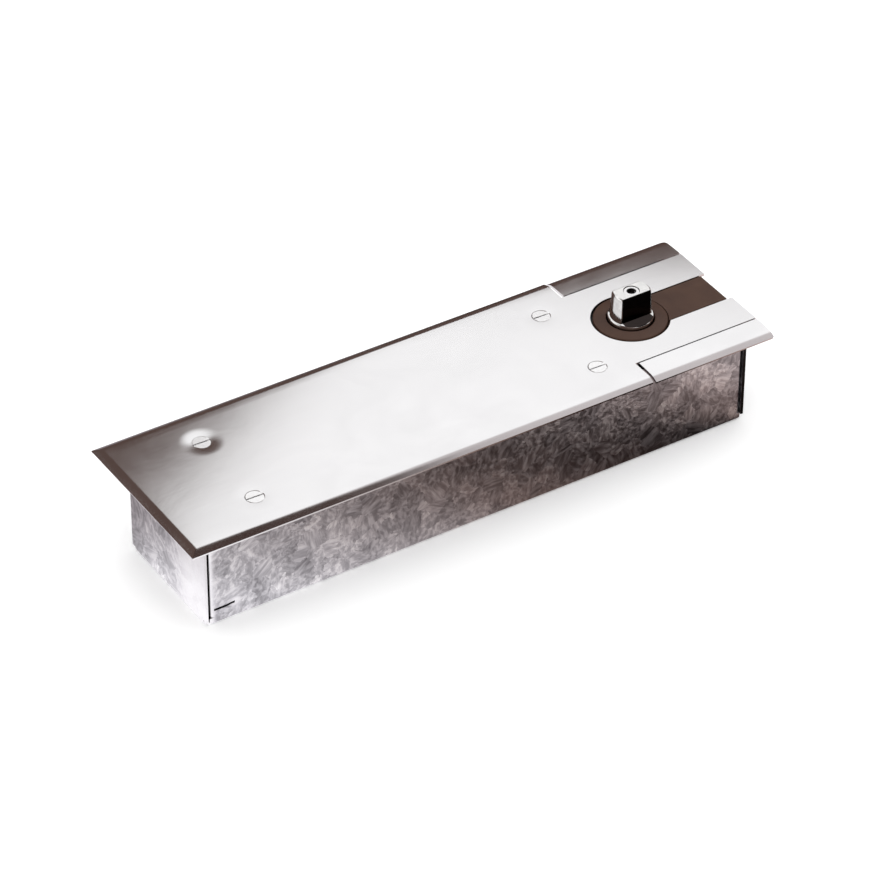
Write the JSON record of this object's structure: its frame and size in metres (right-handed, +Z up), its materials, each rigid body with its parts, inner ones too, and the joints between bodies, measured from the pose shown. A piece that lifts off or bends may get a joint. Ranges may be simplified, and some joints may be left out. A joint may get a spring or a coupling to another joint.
{
  "type": "floor spring door closer",
  "caption": "Floor spring door closer: a galvanised cement box with a cam and spring closer inside, under a satin cover plate with a flat tapered spindle.",
  "frame": {"origin": "on the spindle's axis, at the underside of the cement box", "axes": "+X along the box towards the spindle's end, +Y across the box, +Z up along the spindle"},
  "size_m": [0.3629, 0.1064, 0.082],
  "materials": {
    "galvanised_steel": "hot-dip galvanised sheet with large crystals",
    "stainless_sheet": "satin stainless sheet",
    "brown_plastic": "dark brown moulded plastic",
    "stainless_screw": "bright stainless",
    "cast_housing": "grey cast iron, machined where it seals",
    "gasket_sheet": "fibre gasket",
    "zinc_steel": "zinc-plated steel",
    "seal_rubber": "nitrile rubber",
    "seal_plastic": "filled PTFE",
    "bearing_steel": "ground bearing steel",
    "spring_steel": "oil-tempered spring wire",
    "cam_steel": "case-hardened steel",
    "spindle_steel": "nickel-plated steel",
    "brass": "machined brass",
    "bronze": "sintered bronze"
  },
  "bodies": {
    "root": {"cement_box": "galvanised_steel", "cover_plate": "stainless_sheet", "front_side_strip": "stainless_sheet", "rear_side_strip": "stainless_sheet", "slot_insert": "brown_plastic", "spindle_cover": "brown_plastic", "cover_screws": "stainless_screw", "housing": "cast_housing", "housing_lid": "cast_housing", "lid_gasket": "gasket_sheet", "lid_screws": "zinc_steel", "shaft_seal": "seal_rubber", "upper_outer_ring": "bearing_steel", "lower_outer_ring": "bearing_steel", "end_plug": "zinc_steel", "end_plug_seal": "seal_rubber", "closing_spring": "spring_steel", "levelling_screws": "zinc_steel", "clamp_screws": "zinc_steel", "box_nuts": "zinc_steel", "filler_plug": "zinc_steel", "channel_plugs": "zinc_steel"},
    "spindle": {"cam_shaft": "cam_steel", "spindle": "spindle_steel", "spindle_bolt": "stainless_screw", "upper_inner_ring": "bearing_steel", "lower_inner_ring": "bearing_steel"},
    "upper_balls": {"upper_cage": "brass", "upper_bearing_balls": "bearing_steel"},
    "lower_balls": {"lower_cage": "brass", "lower_bearing_balls": "bearing_steel"},
    "piston": {"piston": "cam_steel", "piston_seal": "seal_plastic", "roller_pin": "bearing_steel", "check_retainer": "brass"},
    "roller": {"cam_roller": "bearing_steel", "roller_bush": "bronze"},
    "check_ball": {"check_ball": "bearing_steel"},
    "closing_valve": {"closing_valve": "brass", "closing_valve_seal": "seal_rubber"},
    "latching_valve": {"latching_valve": "brass", "latching_valve_seal": "seal_rubber"}
  },
  "joints": [
    {"name": "spindle_turn", "type": "hinge", "parent": "root", "child": "spindle", "pos_m": [0, 0, 0], "axis": [0, 0, 1], "range_deg": [0, 130], "stiffness_Nm_per_rad": 5, "springref_deg": -137.51},
    {"name": "piston_slide", "type": "slide", "parent": "root", "child": "piston", "axis": [-1, 0, 0], "range_m": [0, 0.0168], "deforming": ["closing_spring"]},
    {"name": "roller_spin", "type": "hinge", "parent": "piston", "child": "roller", "pos_m": [-0.02, 0, 0.029], "axis": [0, 0, 1], "continuous": true},
    {"name": "upper_balls_turn", "type": "hinge", "parent": "root", "child": "upper_balls", "pos_m": [0, 0, 0.048], "axis": [0, 0, 1], "range_deg": [0, 60]},
    {"name": "lower_balls_turn", "type": "hinge", "parent": "root", "child": "lower_balls", "pos_m": [0, 0, 0.0125], "axis": [0, 0, 1], "range_deg": [0, 60]},
    {"name": "check_ball_slide", "type": "slide", "parent": "piston", "child": "check_ball", "axis": [1, 0, 0], "range_m": [0, 0.001]},
    {"name": "closing_valve_turn", "type": "hinge", "parent": "root", "child": "closing_valve", "pos_m": [0.039, -0.021, 0.058], "axis": [0, 0, 1], "range_deg": [0, 720]},
    {"name": "latching_valve_turn", "type": "hinge", "parent": "root", "child": "latching_valve", "pos_m": [0.039, 0.021, 0.058], "axis": [0, 0, 1], "range_deg": [0, 720]}
  ],
  "couplings": [
    {"joint": "piston_slide", "follows": "spindle_turn", "m_per_rad": 0.0074},
    {"joint": "upper_balls_turn", "follows": "spindle_turn", "ratio": 0.4212},
    {"joint": "lower_balls_turn", "follows": "spindle_turn", "ratio": 0.4098}
  ]
}
